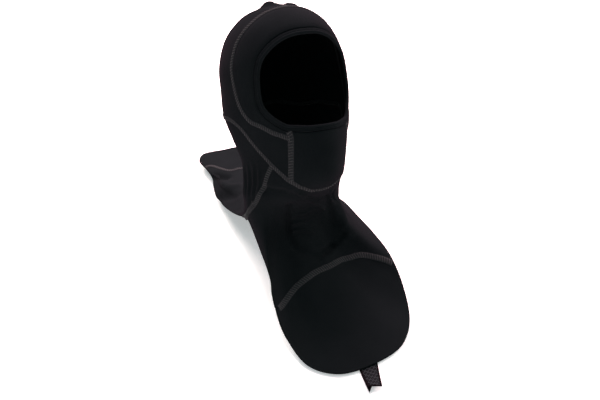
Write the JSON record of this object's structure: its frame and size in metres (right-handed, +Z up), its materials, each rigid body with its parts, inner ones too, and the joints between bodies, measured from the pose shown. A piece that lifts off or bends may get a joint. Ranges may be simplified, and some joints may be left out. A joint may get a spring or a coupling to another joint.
{
  "type": "helmet liner",
  "caption": "Close hood of stretch fleece with a face opening, a mouth panel, and yokes that run out to a long front and a back bib.",
  "frame": {"origin": "inside of the crown, where the top of the head carries the liner", "axes": "+Z up from the surface that the bibs lie over, face towards -Y, wearer's right towards -X"},
  "size_m": [0.176, 0.5466, 0.3366],
  "materials": {
    "fleece": "matte brushed stretch knit, near black",
    "binding": "matte turned hem",
    "woven_tag": "woven satin tape"
  },
  "bodies": {
    "root": {"face_surround": "fleece", "side_panel_right": "fleece", "side_panel_left": "fleece", "mouth_panel": "fleece", "front_yoke": "fleece", "back_yoke": "fleece", "front_bib": "fleece", "back_bib": "fleece", "opening_hem": "binding", "hem_label": "woven_tag"}
  },
  "joints": []
}
